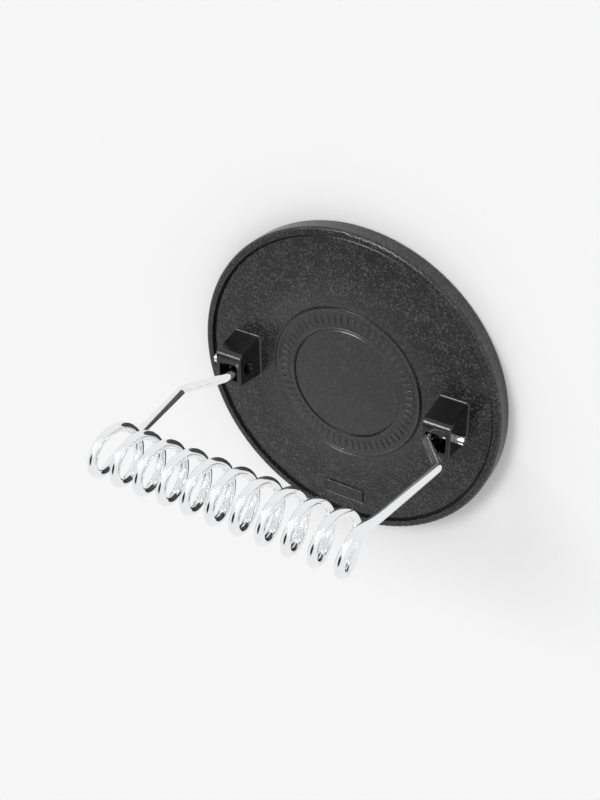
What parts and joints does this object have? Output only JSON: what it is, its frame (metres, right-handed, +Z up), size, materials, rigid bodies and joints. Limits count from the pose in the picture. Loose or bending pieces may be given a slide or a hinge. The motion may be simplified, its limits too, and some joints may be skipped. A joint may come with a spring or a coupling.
{
  "type": "burger press",
  "caption": "Round cast-iron burger press with a flat cooking face, a raised rim and a bent chrome wire handle with a coiled grip, hinged in two hollow lugs.",
  "frame": {"origin": "middle of the flat cooking face, on the surface that the press rests on", "axes": "+Z up from the cooking face to the grip; +X along the handle's hinge line through both lugs; +Y to the lugs' thick, rounded side"},
  "size_m": [0.1778, 0.1778, 0.1341],
  "materials": {
    "cast_iron": "fine-grained matte black seasoning",
    "chrome_wire": "bright plating"
  },
  "bodies": {
    "plate": {"press_plate": "cast_iron"},
    "handle": {"coil_handle": "chrome_wire"}
  },
  "joints": [
    {"name": "handle_hinge", "type": "hinge", "parent": "plate", "child": "handle", "pos_m": [0, -0.0014, 0.0207], "axis": [1, 0, 0], "range_deg": [0, 15]}
  ]
}
